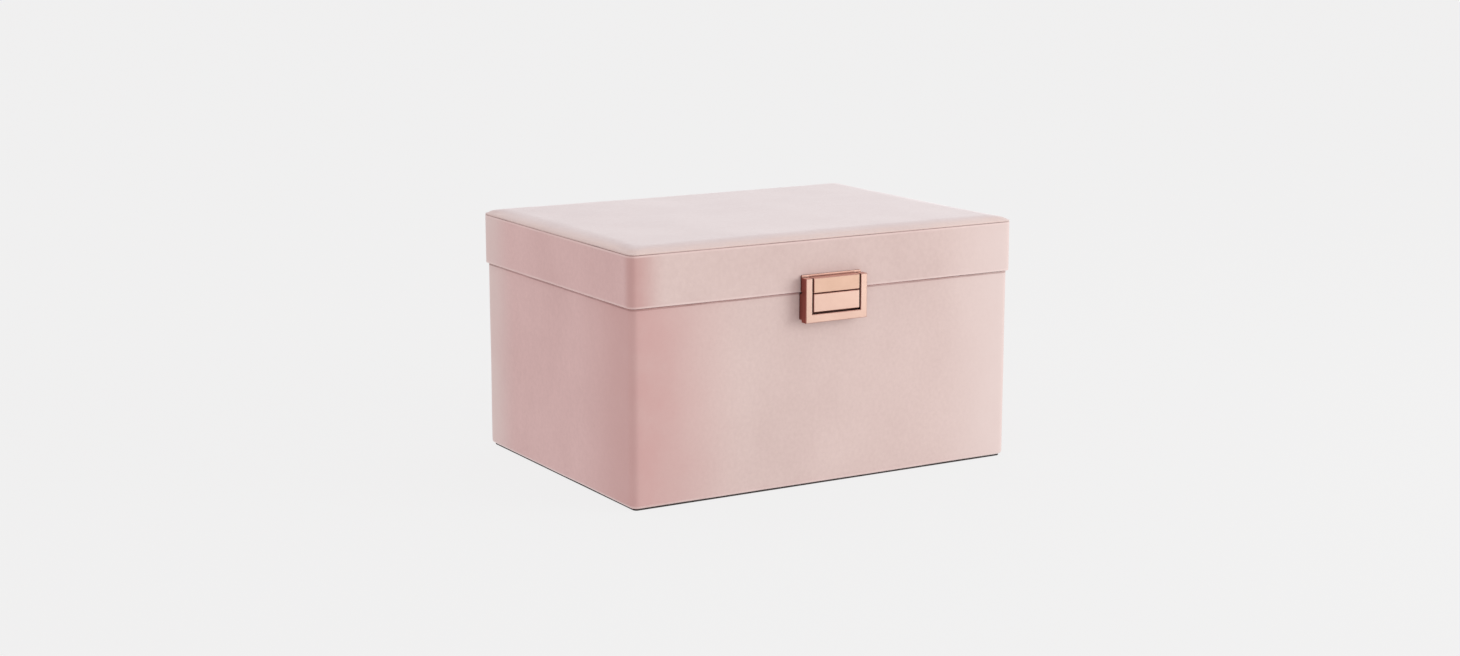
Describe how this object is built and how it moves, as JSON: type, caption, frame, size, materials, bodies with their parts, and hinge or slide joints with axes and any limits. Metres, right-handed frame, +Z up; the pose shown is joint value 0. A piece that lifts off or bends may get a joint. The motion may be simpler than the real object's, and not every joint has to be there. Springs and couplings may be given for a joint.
{
  "type": "jewellery box",
  "caption": "Velvet-covered jewellery box with a padded hinged lid, a mirror inside, a press clasp and a lift-out ring tray.",
  "frame": {"origin": "middle of the underside, on the surface that the box stands on", "axes": "+X to the right along the longest side, -Y out of the front with the clasp, +Z up"},
  "size_m": [0.2626, 0.2072, 0.1492],
  "materials": {
    "blush_velvet": "short-pile velvet, soft nap",
    "lining_velvet": "short-pile velvet, a shade lighter",
    "fibreboard": "raw fibreboard",
    "card": "grey board",
    "foam": null,
    "base_felt": "flat felt",
    "ribbon": "satin ribbon",
    "mirror_glass": "silvered glass",
    "rose_gold": "satin rose-gold plating",
    "screw_steel": "plated steel"
  },
  "bodies": {
    "case": {"back_wall": "fibreboard", "base_board": "fibreboard", "base_felt": "base_felt", "base_filler_card": "card", "body_leaf_left": "rose_gold", "body_leaf_right": "rose_gold", "body_leaf_screws": "rose_gold", "body_wrap": "blush_velvet", "clasp_frame": "rose_gold", "clasp_plate": "rose_gold", "clasp_screws": "screw_steel", "clasp_springs": "screw_steel", "cross_divider": "lining_velvet", "floor_pad": "lining_velvet", "front_wall": "fibreboard", "hinge_pin_left": "rose_gold", "hinge_pin_right": "rose_gold", "left_wall": "fibreboard", "lining_back": "lining_velvet", "lining_front": "lining_velvet", "lining_left": "lining_velvet", "lining_right": "lining_velvet", "long_divider": "lining_velvet", "right_wall": "fibreboard", "tray_rest_back": "lining_velvet", "tray_rest_front": "lining_velvet", "tray_rest_left": "lining_velvet", "tray_rest_right": "lining_velvet"},
    "lid": {"lid_front_wall": "fibreboard", "lid_back_wall": "fibreboard", "lid_left_wall": "fibreboard", "lid_right_wall": "fibreboard", "lid_top_board": "fibreboard", "lid_wrap": "blush_velvet", "pad_card": "card", "pad_foam": "foam", "pad_cover": "blush_velvet", "lid_lining_front": "lining_velvet", "lid_lining_back": "lining_velvet", "lid_lining_left": "lining_velvet", "lid_lining_right": "lining_velvet", "mirror": "mirror_glass", "mirror_frame": "lining_velvet", "strike_plate": "rose_gold", "strike_block": "rose_gold", "strike_screws": "screw_steel", "lid_leaf_left": "rose_gold", "lid_leaf_right": "rose_gold", "lid_leaf_screws": "rose_gold"},
    "button": {"clasp_button": "rose_gold"},
    "tray": {"tray_base": "lining_velvet", "tray_front_wall": "lining_velvet", "tray_back_wall": "lining_velvet", "tray_left_wall": "lining_velvet", "tray_right_wall": "lining_velvet", "ring_divider": "lining_velvet", "tray_cell_dividers": "lining_velvet", "ring_rolls": "lining_velvet", "pull_ribbons": "ribbon"}
  },
  "joints": [
    {"name": "lid_hinge", "type": "hinge", "parent": "case", "child": "lid", "pos_m": [0, 0.099, 0.1158], "axis": [-1, 0, 0], "range_deg": [0, 100]},
    {"name": "clasp_press", "type": "slide", "parent": "case", "child": "button", "axis": [0, 1, 0], "range_m": [0, 0.0016], "stiffness_N_per_m": 800, "springref_m": -0.002, "deforming": ["clasp_springs"]},
    {"name": "tray_lift", "type": "slide", "parent": "case", "child": "tray", "axis": [0, 0, 1], "range_m": [0, 0.022]}
  ]
}
